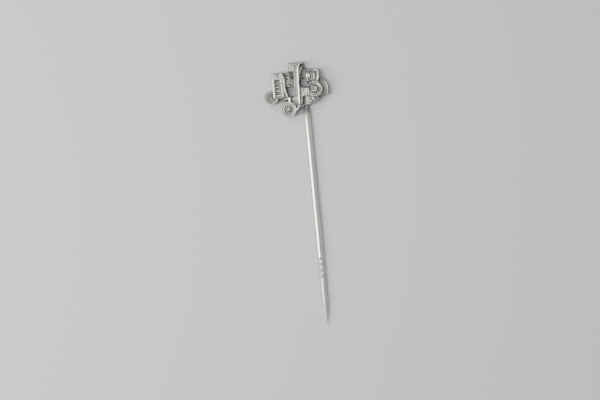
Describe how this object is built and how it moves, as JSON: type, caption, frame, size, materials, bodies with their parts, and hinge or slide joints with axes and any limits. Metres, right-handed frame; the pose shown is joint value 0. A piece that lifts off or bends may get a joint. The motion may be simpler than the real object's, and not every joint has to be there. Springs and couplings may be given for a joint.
{
  "type": "stick pin",
  "caption": "Stick pin: a pierced cast-metal emblem of an open vintage car soldered to a long steel needle with a twisted grip.",
  "frame": {"origin": "on the needle's axis, where the free needle begins at the emblem's foot", "axes": "+Z out of the emblem's front face, +Y up the emblem along the needle's axis, so the needle points along -Y, +X to the emblem's right as it is worn"},
  "size_m": [0.0131, 0.0532, 0.0032],
  "materials": {
    "white_metal": "cast tin-alloy white metal, tumbled bright on the high places and darkened in the recesses",
    "needle_steel": "drawn steel wire, bright plated, with fine lengthwise drawing lines",
    "soft_solder": "soft solder, as it flowed, slightly dull and frosty"
  },
  "bodies": {
    "root": {"emblem_casting": "white_metal", "needle": "needle_steel", "solder_joint": "soft_solder"}
  },
  "joints": []
}
